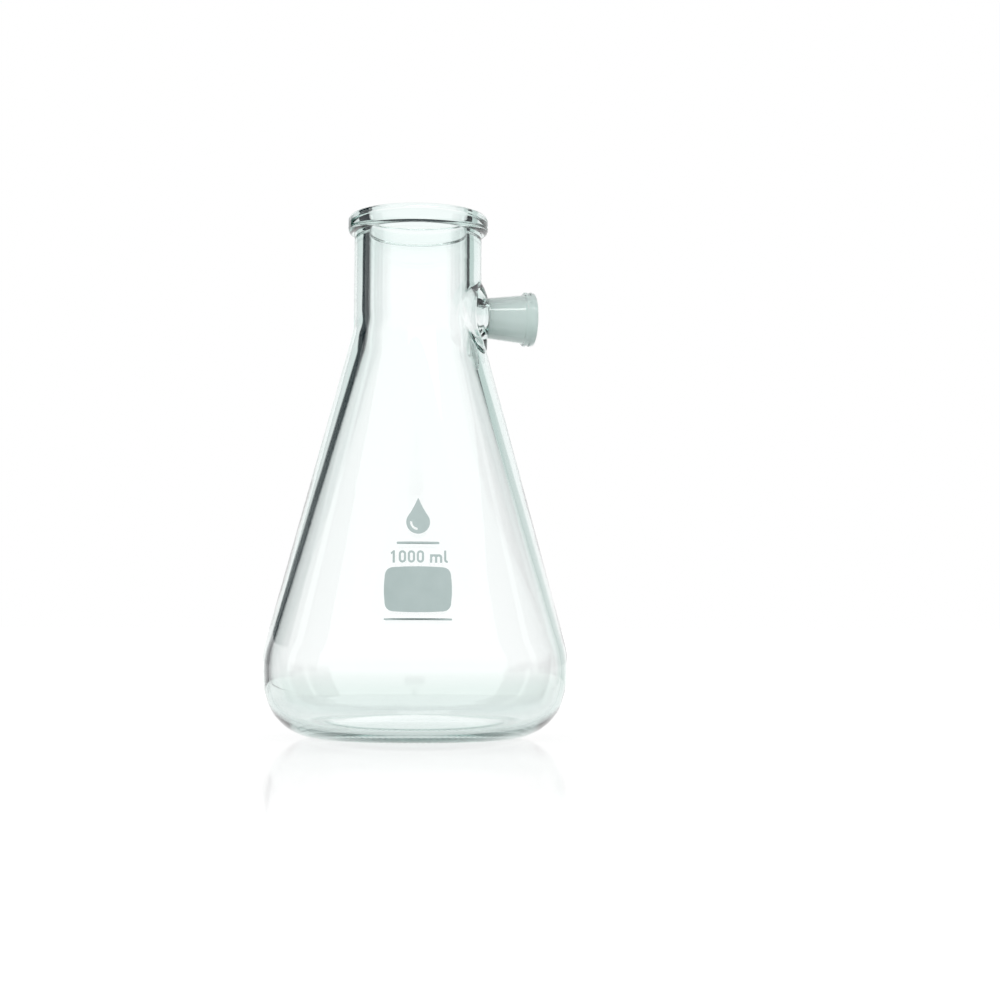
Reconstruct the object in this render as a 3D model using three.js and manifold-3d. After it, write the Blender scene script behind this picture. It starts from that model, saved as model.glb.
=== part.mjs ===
// A 1000 ml filtering (Buchner) flask of clear borosilicate glass.
// The conical vessel is blown in one piece with its neck, its flanged rim and a short flared stub.
// A conical ground socket is made separately and fused to the stub, which makes the side arm.
// A writing panel, a capacity mark and plain marks are fired on the cone in enamel.
// Millimetres, +Z up. The origin is the centre of the base circle, on the surface it stands on,
// and the side arm points along +X.
import * as THREE from "three";
import { mergeVertices } from "three/addons/utils/BufferGeometryUtils.js";
import Module from "manifold-3d";

const wasm = await Module();
wasm.setup();

// ---------------------------------------------------------------- driving dimensions

const SEGMENTS = 60; // facets round the vessel
const ARM_SEGMENTS = 40; // facets round the side arm
const PRINT_SEGMENTS = 6; // steps in each curve of the printed marks

const HEIGHT = 230;
const CONE_ANGLE = 15.14; // degrees from the vertical

// flanged rim
const RIM_R = 31.0;
const RIM_Z = 221.8; // underside of the flange
const RIM_TOP_ROUND = 2.4;
const RIM_EDGE_ROUND = 2.4;
const RIM_ROOT_ROUND = 0.4; // fillet between the flange and the neck
const MOUTH_ROUND = 1.6;

// neck
const NECK_R = 28.2;
const NECK_BORE_R = 21.8;
const SHOULDER_R = 22.9; // radius of the curve from neck to cone
const INNER_SHOULDER_R = 70; // the same curve on the inside, where it is much gentler
const INNER_MEET_Z = 176.5; // where the inner cone and the bore would meet without that curve

// heel: the curve from the cone to the base is two arcs, a large one above a small one
const HEEL_UPPER = { x: 24.5, z: 30.38, r: 42.35 };
const HEEL_LOWER = { x: 41.9, z: 23.8, r: 23.8 };
const HEEL_SPLIT = -20.7; // degrees, where one arc passes into the other
const CONE_FOOT_WALL = 3.3; // wall at the foot of the cone
const HEEL_WALL = 2.9;
const BASE_WALL = 4.3;

// base
const LAND_INNER_R = 39.4; // the flat ring it stands on starts here and ends where the heel starts
const PUNT_HEIGHT = 2.4; // the middle of the base is pushed up by this
const FLOOR_HEIGHT = 7.2; // top of the floor at the middle

// side arm, along +X
const ARM_Z = 185.6;
const WELD_X = 30.7; // plane where the socket is fused to the stub
const WELD_GAP = 0.3;
const FLARE_R = 15.5; // the stub's flare where it leaves the neck
const STUB_R = 9.5;
const STUB_BORE_R = 6.3;
const STUB_MOUTH_R = 12.5; // the bore opens to this inside the neck
const SOCKET_ROOT_R = 8.95;
const SOCKET_TIP_R = 10.8;
const SOCKET_BORE_R = 8.75; // at the mouth
const CONE_END_X = 47.2;
const BEAD_R = 12.15;
const BEAD_X = [47.6, 50.1]; // each half of the double bead starts here
const BEAD_ROUND = 1.1;
const ARM_END_X = 52.5;

// enamel print, on the cone
const PRINT_FACING = -97.1; // degrees round +Z from +X
const PRINT_GAP = 0.3;
const PRINT_THICKNESS = 0.3;
const PANEL = { width: 27.8, height: 18.8, z: 63.5, corner: 4.2, bulge: 0.3 };
const CAPACITY_Z = 74.4; // foot of the figures
const FIGURE_HEIGHT = 5.1;
const LETTER_HEIGHT = 3.5;
const STROKE = 0.9;
const ONE_X = -9.5; // right edge of the figure one's stem
const ONE_FLAG = [
  // its flag's corners, left of that edge and down from its top
  [0.6, 0],
  [1.75, 1.0],
  [1.45, 1.7],
  [STROKE, 1.25],
];
const ZERO = { x: -6.4, width: 3.0, pitch: 3.68 }; // x is the middle of the first nought
const LETTER_M = { x: 4.9, width: 5.0, round: 1.2 };
const LETTER_L = { x: 10.7, round: 1.25, tail: 1.5 };
const UPPER_RULE = { width: 17.6, height: 1.0, z: 82.6 };
const LOWER_RULE = { width: 27.8, height: 0.8, z: 51.2 };
const DROP = { radius: 4.9, height: 15.2, z: 86.4 };
const DROP_SPREAD = 28; // degrees above the drop's middle where its sides leave the round part
const GLINT = { outer: 0.68, inner: 0.5, from: 175, to: 265 }; // radii as parts of the drop's

const GLASS_COLOUR = 0xdfeae6;
const GROUND_COLOUR = 0xbccbc8;
const ENAMEL_COLOUR = 0xabbdbb;

// ---------------------------------------------------------------- outlines and solids

const rad = THREE.MathUtils.degToRad;

// Points of an arc about (x, z), from one angle to another, in degrees.
function arc(x, z, r, from, to, steps) {
  return Array.from({ length: steps + 1 }, (_, i) => {
    const a = rad(from + ((to - from) * i) / steps);
    return new THREE.Vector2(x + r * Math.cos(a), z + r * Math.sin(a));
  });
}

const at = (r, z) => new THREE.Vector2(r, z);

function toSolid(geometry) {
  const plain = geometry.clone();
  plain.deleteAttribute("normal");
  plain.deleteAttribute("uv");
  const merged = mergeVertices(plain, 1e-4);
  return new wasm.Manifold(
    new wasm.Mesh({
      numProp: 3,
      vertProperties: new Float32Array(merged.attributes.position.array),
      triVerts: new Uint32Array(merged.index.array),
    }),
  );
}

// A solid of revolution about +Z: the outline's points are (radius, z).
function turned(outline) {
  const lathe = new THREE.LatheGeometry(outline, SEGMENTS);
  return toSolid(lathe.rotateX(Math.PI / 2));
}

// A solid of revolution about the side arm's axis: the outline's points are (radius, x).
function turnedArm(outline) {
  const lathe = new THREE.LatheGeometry(outline, ARM_SEGMENTS);
  return toSolid(lathe.rotateZ(-Math.PI / 2).translate(0, 0, ARM_Z));
}

function toMesh(name, solid, material) {
  const made = solid.getMesh();
  const positions = new Float32Array(made.numVert * 3);
  for (let i = 0; i < made.numVert; i++) {
    const first = i * made.numProp;
    positions.set(made.vertProperties.subarray(first, first + 3), i * 3);
  }
  const geometry = new THREE.BufferGeometry();
  geometry.setAttribute("position", new THREE.BufferAttribute(positions, 3));
  geometry.setIndex(new THREE.BufferAttribute(made.triVerts, 1));
  geometry.computeVertexNormals();
  const mesh = new THREE.Mesh(geometry, material);
  mesh.name = name;
  return mesh;
}

// ---------------------------------------------------------------- materials

const clearGlass = new THREE.MeshStandardMaterial({
  color: GLASS_COLOUR,
  roughness: 0.03,
  metalness: 0,
  transparent: true,
  opacity: 0.35,
});
const groundGlass = new THREE.MeshStandardMaterial({
  color: GROUND_COLOUR,
  roughness: 0.55,
  metalness: 0,
  transparent: true,
  opacity: 0.6,
});
const enamel = new THREE.MeshStandardMaterial({
  color: ENAMEL_COLOUR,
  roughness: 0.45,
  metalness: 0,
});

// ---------------------------------------------------------------- vessel

// An arc that joins a straight wall of radius r0 to the cone from its foot up to (r0, meetZ).
// Its points run up from the cone to the straight wall, as (radius, z).
function shoulderArc(foot, r0, meetZ, r, steps) {
  const slope = Math.atan2(foot.x - r0, meetZ - foot.y);
  const top = meetZ + r * Math.tan(slope / 2);
  const degrees = THREE.MathUtils.radToDeg(slope);
  return arc(r0 + r, top, r, 180 + degrees, 180, steps);
}

const outerFoot = arc(HEEL_UPPER.x, HEEL_UPPER.z, HEEL_UPPER.r, CONE_ANGLE, CONE_ANGLE, 1)[0];
const outerMeetZ = outerFoot.y + (outerFoot.x - NECK_R) / Math.tan(rad(CONE_ANGLE));

function vesselOutline() {
  const flange = {
    side: RIM_R - RIM_TOP_ROUND,
    edge: RIM_R - RIM_EDGE_ROUND,
    root: NECK_R + RIM_ROOT_ROUND,
  };
  return [
    at(0, PUNT_HEIGHT),
    at(LAND_INNER_R * 0.5, PUNT_HEIGHT * 0.8),
    at(LAND_INNER_R * 0.85, PUNT_HEIGHT * 0.3),
    at(LAND_INNER_R, 0),
    ...arc(HEEL_LOWER.x, HEEL_LOWER.z, HEEL_LOWER.r, -90, HEEL_SPLIT, 7),
    ...arc(HEEL_UPPER.x, HEEL_UPPER.z, HEEL_UPPER.r, HEEL_SPLIT, CONE_ANGLE, 5).slice(1),
    ...shoulderArc(outerFoot, NECK_R, outerMeetZ, SHOULDER_R, 4),
    ...arc(flange.root, RIM_Z - RIM_ROOT_ROUND, RIM_ROOT_ROUND, 180, 90, 2),
    ...arc(flange.edge, RIM_Z + RIM_EDGE_ROUND, RIM_EDGE_ROUND, -90, 0, 4),
    ...arc(flange.side, HEIGHT - RIM_TOP_ROUND, RIM_TOP_ROUND, 0, 90, 4),
    at(0, HEIGHT),
  ];
}

// Wall thickness round the heel: thinnest at the bend, thickest under the floor.
function heelWall(angle) {
  if (angle > HEEL_SPLIT) {
    const t = (CONE_ANGLE - angle) / (CONE_ANGLE - HEEL_SPLIT);
    return THREE.MathUtils.lerp(CONE_FOOT_WALL, HEEL_WALL, t);
  }
  const t = (HEEL_SPLIT - angle) / (HEEL_SPLIT + 90);
  return THREE.MathUtils.lerp(HEEL_WALL, BASE_WALL, t * t);
}

function innerHeel(arcOf, from, to, steps) {
  return Array.from({ length: steps + 1 }, (_, i) => {
    const angle = from + ((to - from) * i) / steps;
    const r = arcOf.r - heelWall(angle);
    return at(arcOf.x + r * Math.cos(rad(angle)), arcOf.z + r * Math.sin(rad(angle)));
  });
}

function cavityOutline() {
  const upper = innerHeel(HEEL_UPPER, HEEL_SPLIT, CONE_ANGLE, 4).slice(1);
  const foot = upper[upper.length - 1];
  return [
    at(0, FLOOR_HEIGHT),
    at(HEEL_LOWER.x * 0.5, FLOOR_HEIGHT * 0.9),
    at(HEEL_LOWER.x * 0.82, FLOOR_HEIGHT * 0.68),
    ...innerHeel(HEEL_LOWER, -90, HEEL_SPLIT, 7),
    ...upper,
    ...shoulderArc(foot, NECK_BORE_R, INNER_MEET_Z, INNER_SHOULDER_R, 4),
    at(NECK_BORE_R, HEIGHT - MOUTH_ROUND),
    ...arc(NECK_BORE_R + MOUTH_ROUND, HEIGHT - MOUTH_ROUND, MOUTH_ROUND, 180, 90, 2).slice(1),
    at(NECK_BORE_R + MOUTH_ROUND, HEIGHT + 1),
    at(0, HEIGHT + 1),
  ];
}

// The stub flares from the weld plane into the neck, like a shallow trumpet.
function stubOutline() {
  const rise = WELD_X - NECK_R;
  return [
    at(0, NECK_BORE_R + 1),
    at(FLARE_R, NECK_BORE_R + 1),
    at(FLARE_R, NECK_R - 2),
    at(FLARE_R - 1, NECK_R),
    at(FLARE_R - 3.6, NECK_R + rise * 0.3),
    at(STUB_R + 1.4, NECK_R + rise * 0.72),
    at(STUB_R, WELD_X),
    at(0, WELD_X),
  ];
}

function stubBoreOutline() {
  const start = NECK_BORE_R - 6;
  const depth = WELD_X - NECK_BORE_R;
  return [
    at(0, start),
    at(STUB_MOUTH_R + 1.5, start),
    at(STUB_MOUTH_R, NECK_BORE_R - 1),
    at(STUB_BORE_R + 1.6, NECK_BORE_R + depth * 0.3),
    at(STUB_BORE_R, NECK_BORE_R + depth * 0.65),
    at(STUB_BORE_R, WELD_X + 1),
    at(0, WELD_X + 1),
  ];
}

function flaskBody() {
  return turned(vesselOutline())
    .add(turnedArm(stubOutline()))
    .subtract(turned(cavityOutline()))
    .subtract(turnedArm(stubBoreOutline()));
}

// ---------------------------------------------------------------- side arm socket

// Outer cone, double bead, flat end face, then the ground cone back to the root.
function socketOutline() {
  const beads = [];
  BEAD_X.forEach((x, i) => {
    const end = i === 0 ? BEAD_X[1] : ARM_END_X;
    const round = BEAD_ROUND;
    beads.push(...arc(BEAD_R - round, x + round, round, -60, 0, 2));
    beads.push(...arc(BEAD_R - round, end - round, round, 0, i === 0 ? 50 : 90, 3));
  });
  const root = WELD_X + WELD_GAP;
  return [
    at(STUB_BORE_R, root),
    at(SOCKET_ROOT_R, root),
    at(SOCKET_TIP_R, CONE_END_X),
    ...beads,
    at(SOCKET_BORE_R, ARM_END_X),
    at(STUB_BORE_R, root + 2),
    at(STUB_BORE_R, root),
  ];
}

// ---------------------------------------------------------------- enamel print

const PRINT_BAND = [46, 105]; // the stretch of straight cone that takes the print

// The cone's outer radius at a height on its straight stretch.
function coneRadius(z) {
  return THREE.MathUtils.mapLinear(z, outerFoot.y, outerMeetZ, outerFoot.x, NECK_R);
}

// A thin skin that follows the cone, just clear of it; every mark is cut out of it.
function printSkin() {
  const near = PRINT_GAP / Math.cos(rad(CONE_ANGLE));
  const far = (PRINT_GAP + PRINT_THICKNESS) / Math.cos(rad(CONE_ANGLE));
  const [low, high] = PRINT_BAND;
  return turned([
    at(coneRadius(low) + near, low),
    at(coneRadius(low) + far, low),
    at(coneRadius(high) + far, high),
    at(coneRadius(high) + near, high),
    at(coneRadius(low) + near, low),
  ]);
}

// Cuts a flat shape (x to the reader's right, y up) out of the skin, on the side that it faces.
function printed(shape, skin) {
  const depth = 60;
  const prism = new THREE.ExtrudeGeometry(shape, {
    depth,
    bevelEnabled: false,
    curveSegments: PRINT_SEGMENTS,
  }).translate(0, 0, 20);
  const a = rad(PRINT_FACING);
  const right = new THREE.Vector3(-Math.sin(a), Math.cos(a), 0);
  const up = new THREE.Vector3(0, 0, 1);
  const out = new THREE.Vector3(Math.cos(a), Math.sin(a), 0);
  prism.applyMatrix4(new THREE.Matrix4().makeBasis(right, up, out));
  return toSolid(prism).intersect(skin);
}

function bar({ width, height, z }) {
  const shape = new THREE.Shape();
  const r = height / 2;
  shape.absarc(width / 2 - r, z, r, -Math.PI / 2, Math.PI / 2, false);
  shape.absarc(-width / 2 + r, z, r, Math.PI / 2, (3 * Math.PI) / 2, false);
  return shape;
}

// A rounded rectangle whose sides bow out slightly.
function panelShape({ width, height, z, corner, bulge }) {
  const x = width / 2 - bulge;
  const y = height / 2 - bulge;
  const shape = new THREE.Shape();
  shape.moveTo(-x + corner, z - y);
  shape.quadraticCurveTo(0, z - y - 2 * bulge, x - corner, z - y);
  shape.quadraticCurveTo(x, z - y, x, z - y + corner);
  shape.quadraticCurveTo(x + 2 * bulge, z, x, z + y - corner);
  shape.quadraticCurveTo(x, z + y, x - corner, z + y);
  shape.quadraticCurveTo(0, z + y + 2 * bulge, -x + corner, z + y);
  shape.quadraticCurveTo(-x, z + y, -x, z + y - corner);
  shape.quadraticCurveTo(-x - 2 * bulge, z, -x, z - y + corner);
  shape.quadraticCurveTo(-x, z - y, -x + corner, z - y);
  return shape;
}

function stadium(path, x, z, width, height) {
  const r = width / 2;
  path.absarc(x, z + height - r, r, 0, Math.PI, false);
  path.absarc(x, z + r, r, Math.PI, 2 * Math.PI, false);
  path.closePath();
  return path;
}

function zeroShape(x) {
  const shape = stadium(new THREE.Shape(), x, CAPACITY_Z, ZERO.width, FIGURE_HEIGHT);
  const inner = [ZERO.width - 2 * STROKE, FIGURE_HEIGHT - 2 * STROKE];
  shape.holes.push(stadium(new THREE.Path(), x, CAPACITY_Z + STROKE, ...inner));
  return shape;
}

function oneShape() {
  const top = CAPACITY_Z + FIGURE_HEIGHT;
  const shape = new THREE.Shape();
  shape.moveTo(ONE_X, CAPACITY_Z);
  shape.lineTo(ONE_X, top);
  for (const [left, down] of ONE_FLAG) shape.lineTo(ONE_X - left, top - down);
  shape.lineTo(ONE_X - STROKE, CAPACITY_Z);
  return shape;
}

// x is the left edge; the letter is a rounded block with two round-topped slots.
function letterM({ x, width, round }) {
  const slot = (width - 3 * STROKE) / 2;
  const slotTop = CAPACITY_Z + LETTER_HEIGHT - STROKE - slot / 2;
  const shape = new THREE.Shape();
  shape.moveTo(x, CAPACITY_Z);
  for (const left of [x + STROKE, x + 2 * STROKE + slot]) {
    shape.lineTo(left, CAPACITY_Z);
    shape.lineTo(left, slotTop);
    shape.absarc(left + slot / 2, slotTop, slot / 2, Math.PI, 0, true);
    shape.lineTo(left + slot, CAPACITY_Z);
  }
  shape.lineTo(x + width, CAPACITY_Z);
  const top = CAPACITY_Z + LETTER_HEIGHT;
  shape.absarc(x + width - round, top - round, round, 0, Math.PI / 2, false);
  shape.lineTo(x, top);
  return shape;
}

// x is the left edge; the stem turns to the right at its foot.
function letterL({ x, round, tail }) {
  const shape = new THREE.Shape();
  shape.moveTo(x, CAPACITY_Z + FIGURE_HEIGHT);
  shape.absarc(x + round, CAPACITY_Z + round, round, Math.PI, (3 * Math.PI) / 2, false);
  shape.lineTo(x + tail, CAPACITY_Z);
  shape.lineTo(x + tail, CAPACITY_Z + STROKE);
  shape.absarc(x + round, CAPACITY_Z + round, round - STROKE, -Math.PI / 2, -Math.PI, true);
  shape.lineTo(x + STROKE, CAPACITY_Z + FIGURE_HEIGHT);
  return shape;
}

// A plain drop of liquid, with a crescent of clear glass in it.
function dropShape({ radius, height, z }) {
  const centre = z + radius;
  const spread = rad(DROP_SPREAD);
  const side = radius * Math.cos(spread);
  const tangent = centre + radius * Math.sin(spread);
  const shape = new THREE.Shape();
  shape.moveTo(0, z + height);
  shape.quadraticCurveTo(-side * 0.45, centre + radius * 1.15, -side, tangent);
  shape.absarc(0, centre, radius, Math.PI - spread, 2 * Math.PI + spread, false);
  shape.quadraticCurveTo(side * 0.45, centre + radius * 1.15, 0, z + height);
  const glint = new THREE.Path();
  glint.absarc(0, centre, radius * GLINT.outer, rad(GLINT.from), rad(GLINT.to), false);
  glint.absarc(0, centre, radius * GLINT.inner, rad(GLINT.to), rad(GLINT.from), true);
  glint.closePath();
  shape.holes.push(glint);
  return shape;
}

// ---------------------------------------------------------------- assembly

const flask = new THREE.Group();
flask.name = "filtering_flask";

const glassware = new THREE.Group();
glassware.add(toMesh("flask_body", flaskBody(), clearGlass));
glassware.add(toMesh("side_arm_socket", turnedArm(socketOutline()), groundGlass));
flask.add(glassware);

const skin = printSkin();
const marks = {
  writing_panel: panelShape(PANEL),
  capacity_figure_one: oneShape(),
  capacity_letter_m: letterM(LETTER_M),
  capacity_letter_l: letterL(LETTER_L),
  mark_drop: dropShape(DROP),
  mark_rule_upper: bar(UPPER_RULE),
  mark_rule_lower: bar(LOWER_RULE),
};
for (let i = 0; i < 3; i++) {
  marks["capacity_figure_zero_" + (i + 1)] = zeroShape(ZERO.x + i * ZERO.pitch);
}

const print = new THREE.Group();
for (const [name, shape] of Object.entries(marks)) {
  print.add(toMesh(name, printed(shape, skin), enamel));
}
flask.add(print);

export default flask;
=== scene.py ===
"""The looks of a 1000 ml filtering flask of clear borosilicate glass, built round its CAD frame.

The vessel and its ground socket are rebuilt as smooth glass with real walls. The enamel print is
rebuilt as thin films that lie on the cone. Lengths are in millimetres while a shape is worked out
and in metres in every Blender object.
"""
import math

import bmesh
import bpy
import numpy as np
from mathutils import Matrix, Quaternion, Vector
from mathutils.geometry import delaunay_2d_cdt


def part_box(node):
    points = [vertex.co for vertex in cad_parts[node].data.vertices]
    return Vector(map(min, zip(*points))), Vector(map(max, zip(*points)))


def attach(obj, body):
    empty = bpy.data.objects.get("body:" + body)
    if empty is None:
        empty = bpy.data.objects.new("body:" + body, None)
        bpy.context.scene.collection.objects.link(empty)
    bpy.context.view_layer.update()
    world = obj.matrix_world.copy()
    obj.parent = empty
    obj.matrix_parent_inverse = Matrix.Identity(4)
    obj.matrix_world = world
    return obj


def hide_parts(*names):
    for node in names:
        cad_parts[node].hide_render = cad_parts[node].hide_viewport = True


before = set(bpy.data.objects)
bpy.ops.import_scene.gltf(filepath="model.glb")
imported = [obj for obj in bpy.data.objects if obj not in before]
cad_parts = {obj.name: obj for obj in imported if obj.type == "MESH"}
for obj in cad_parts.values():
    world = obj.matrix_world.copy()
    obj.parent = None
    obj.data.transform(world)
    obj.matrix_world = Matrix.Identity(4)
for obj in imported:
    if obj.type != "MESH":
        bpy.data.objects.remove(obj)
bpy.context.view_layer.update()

MM = 0.001


def node_box(name):
    """A CAD node's lowest and highest corner, in millimetres."""
    low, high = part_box(name)
    return np.array(low) / MM, np.array(high) / MM


SOCKET_LOW, SOCKET_HIGH = node_box("side_arm_socket")

# ---------------------------------------------------------------- sizes of the glass

HEIGHT = node_box("flask_body")[1][2]
ARM_Z = (SOCKET_LOW[2] + SOCKET_HIGH[2]) / 2
ARM_END = SOCKET_HIGH[0]
BEAD_R = (SOCKET_HIGH[2] - SOCKET_LOW[2]) / 2
WELD_X = SOCKET_LOW[0]

CONE_ANGLE = 15.14  # degrees from the vertical
RIM_R = 31.0
RIM_Z = 221.8
RIM_TOP_ROUND = 2.4
RIM_EDGE_ROUND = 2.4
RIM_ROOT_ROUND = 0.4
MOUTH_ROUND = 1.6
NECK_R = 28.2
NECK_BORE_R = 21.8
SHOULDER_R = 22.9
INNER_SHOULDER_R = 70.0
INNER_MEET_Z = 176.5  # where the inner cone and the bore would meet, were they not rounded
HEEL_UPPER = (24.5, 30.38, 42.35)  # centre radius, centre height, arc radius
HEEL_LOWER = (41.9, 23.8, 23.8)
HEEL_SPLIT = -20.7
CONE_FOOT_WALL = 3.3
HEEL_WALL = 2.9
BASE_WALL = 4.3
LAND_INNER_R = 39.4
PUNT_HEIGHT = 2.4
FLOOR_HEIGHT = 7.2

SPIN = 432  # vertices round the vessel
STIPPLES = 108  # bumps round the ring that the flask stands on
STIPPLE_DEPTH = 0.5

FLARE_R = 15.5  # where the boss of the side arm leaves the neck
FLARE_RISE = 1.5
INNER_FLARE_R = 16.0
BORE_END_X = NECK_R - 1.0  # where the bore of the side arm starts to open into the neck
SOCKET_ROOT_R = 8.95
SOCKET_TIP_R = 10.8
SOCKET_BORE_R = 8.75
ARM_BORE_R = 6.3
CONE_END_X = 47.2


# ---------------------------------------------------------------- outlines

def arc(x, z, r, start, end, step=1.0, least=6):
    """Points of an arc about (x, z), from one angle in degrees to another."""
    length = abs(math.radians(end - start)) * r
    count = max(least, math.ceil(length / step))
    angles = np.radians(np.linspace(start, end, count + 1))
    return [(x + r * math.cos(a), z + r * math.sin(a)) for a in angles]


def line(start, end, step):
    """Points from start to end, without either of the two."""
    start, end = np.array(start), np.array(end)
    count = max(1, round(float(np.linalg.norm(end - start)) / step))
    return [tuple(start + (end - start) * i / count) for i in range(1, count)]


def heel_wall(angle):
    """Wall thickness round the heel: thinnest at the bend, thickest under the floor."""
    if angle > HEEL_SPLIT:
        t = (CONE_ANGLE - angle) / (CONE_ANGLE - HEEL_SPLIT)
        return CONE_FOOT_WALL + (HEEL_WALL - CONE_FOOT_WALL) * t
    t = (HEEL_SPLIT - angle) / (HEEL_SPLIT + 90)
    return HEEL_WALL + (BASE_WALL - HEEL_WALL) * t * t


def inner_heel(centre_r, centre_z, r, start, end, step=1.0):
    """Points of the heel's inner surface, one wall's thickness inside the outer arc."""
    count = math.ceil(abs(math.radians(end - start)) * r / step)
    points = []
    for angle in np.linspace(start, end, count + 1):
        reach = r - heel_wall(angle)
        a = math.radians(angle)
        points.append((centre_r + reach * math.cos(a), centre_z + reach * math.sin(a)))
    return points


def smooth_step(x, low, high):
    """0 below low, 1 above high, and a smooth curve between them."""
    t = np.clip((np.asarray(x, float) - low) / (high - low), 0, 1)
    return t * t * (3 - 2 * t)


WINDOW_LOW = ARM_Z - 23.0  # rows from here to WINDOW_HIGH are at the same heights inside and out
WINDOW_HIGH = ARM_Z + 23.0
WINDOW_ROWS = 46


def bend(z, straight, r, meet, foot):
    """Radius at a height where a straight neck bends into a cone that runs down to foot.

    The bend is an arc of radius r that touches both, and they would meet at the height meet.
    """
    slope = (foot[0] - straight) / (meet - foot[1])
    a = math.atan(slope)
    reach = r * math.tan(a / 2)
    top, low = meet + reach, meet - reach * math.cos(a)
    z = np.asarray(z, float)
    drop = np.clip(top - z, 0, top - low)
    curved = straight + r - np.sqrt(r * r - drop * drop)
    return np.where(z < low, foot[0] + (foot[1] - z) * slope, curved)


def neck_radius(z, outside):
    """Radius of the neck, shoulder and cone at a height above the heel."""
    if outside:
        foot = arc(*HEEL_UPPER, HEEL_SPLIT, CONE_ANGLE)[-1]
        meet = foot[1] + (foot[0] - NECK_R) / math.tan(math.radians(CONE_ANGLE))
        return bend(z, NECK_R, SHOULDER_R, meet, foot)
    foot = inner_heel(*HEEL_UPPER, HEEL_SPLIT, CONE_ANGLE)[-1]
    return bend(z, NECK_BORE_R, INNER_SHOULDER_R, INNER_MEET_Z, foot)


def window_heights():
    """The heights of the rows that the side arm's window is cut out of."""
    return np.linspace(WINDOW_LOW, WINDOW_HIGH, WINDOW_ROWS + 1)


def outer_rows():
    """The outside of the vessel, from the middle of the base to the flat of the rim."""
    punt = []
    for r in np.linspace(0, LAND_INNER_R, 22)[1:-1]:
        t = r / LAND_INNER_R
        punt.append((r, PUNT_HEIGHT * (1 - t * t) ** 1.5))
    heel = [(LAND_INNER_R, 0.0)] + line((LAND_INNER_R, 0), (HEEL_LOWER[0], 0), 0.5)
    heel += arc(*HEEL_LOWER, -90, HEEL_SPLIT, 0.8)
    heel += arc(*HEEL_UPPER, HEEL_SPLIT, CONE_ANGLE, 1.0)[1:]
    cone_heights = np.linspace(heel[-1][1], WINDOW_LOW, 40)[1:-1]
    above = np.linspace(WINDOW_HIGH, RIM_Z - RIM_ROOT_ROUND, 6)[1:-1]
    neck = [(float(neck_radius(z, True)), z) for z in (*cone_heights, *window_heights(), *above)]
    rim = arc(NECK_R + RIM_ROOT_ROUND, RIM_Z - RIM_ROOT_ROUND, RIM_ROOT_ROUND, 180, 90, 0.3)
    rim += arc(RIM_R - RIM_EDGE_ROUND, RIM_Z + RIM_EDGE_ROUND, RIM_EDGE_ROUND, -90, 0, 0.35)
    rim += line((RIM_R, RIM_Z + RIM_EDGE_ROUND), (RIM_R, HEIGHT - RIM_TOP_ROUND), 1.0)
    rim += arc(RIM_R - RIM_TOP_ROUND, HEIGHT - RIM_TOP_ROUND, RIM_TOP_ROUND, 0, 90, 0.35)
    return punt + heel + neck + rim


def inner_rows():
    """The inside of the vessel, from the flat of the rim to the middle of the floor."""
    mouth = arc(NECK_BORE_R + MOUTH_ROUND, HEIGHT - MOUTH_ROUND, MOUTH_ROUND, 90, 180, 0.3)
    above = np.linspace(HEIGHT - MOUTH_ROUND, WINDOW_HIGH, 14)[1:-1]
    heel = inner_heel(*HEEL_LOWER, -90, HEEL_SPLIT, 0.9)
    heel += inner_heel(*HEEL_UPPER, HEEL_SPLIT, CONE_ANGLE, 1.1)[1:]
    cone_heights = np.linspace(WINDOW_LOW, heel[-1][1], 40)[1:-1]
    heights = (*above, *window_heights()[::-1], *cone_heights)
    neck = [(float(neck_radius(z, False)), z) for z in heights]
    edge_r, edge_z = heel[0]
    floor = []
    for r in np.linspace(edge_r, 0, 26)[1:-1]:
        t = r / edge_r
        floor.append((r, edge_z + (FLOOR_HEIGHT - edge_z) * (1 - t * t) ** 1.5))
    return mouth + neck + heel[::-1] + floor


def stipple(r, angle, z):
    """Raises the standing ring between its small slanted bumps, which reach down to the table."""
    depth = STIPPLE_DEPTH * smooth_step(r, 39.0, 41.0) * (1 - smooth_step(r, 45.0, 47.5))
    bump = np.cos(STIPPLES * angle + 1.6 * (r - 43)) * np.cos(1.5 * (r - 43))
    return z + depth * (1 - np.clip(0.5 + 0.9 * bump, 0, 1))


# ---------------------------------------------------------------- meshes

def make_object(name, vertices, faces, materials, face_materials=None, sharp=()):
    """An object from points in millimetres, its faces turned outwards and shaded smooth."""
    mesh = bpy.data.meshes.new(name)
    mesh.from_pydata([tuple(p) for p in np.asarray(vertices) * MM], [], faces)
    for material in materials:
        mesh.materials.append(material)
    if face_materials is not None:
        mesh.polygons.foreach_set("material_index", face_materials)
    work = bmesh.new()
    work.from_mesh(mesh)
    bmesh.ops.recalc_face_normals(work, faces=work.faces)
    if work.calc_volume(signed=True) < 0:
        bmesh.ops.reverse_faces(work, faces=work.faces)
    work.to_mesh(mesh)
    work.free()
    mesh.polygons.foreach_set("use_smooth", [True] * len(mesh.polygons))
    if sharp:
        edges = {tuple(sorted(pair)) for pair in sharp}
        for edge in mesh.edges:
            if tuple(sorted(edge.vertices)) in edges:
                edge.use_edge_sharp = True
    made = bpy.data.objects.new(name, mesh)
    bpy.context.collection.objects.link(made)
    return made


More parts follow.
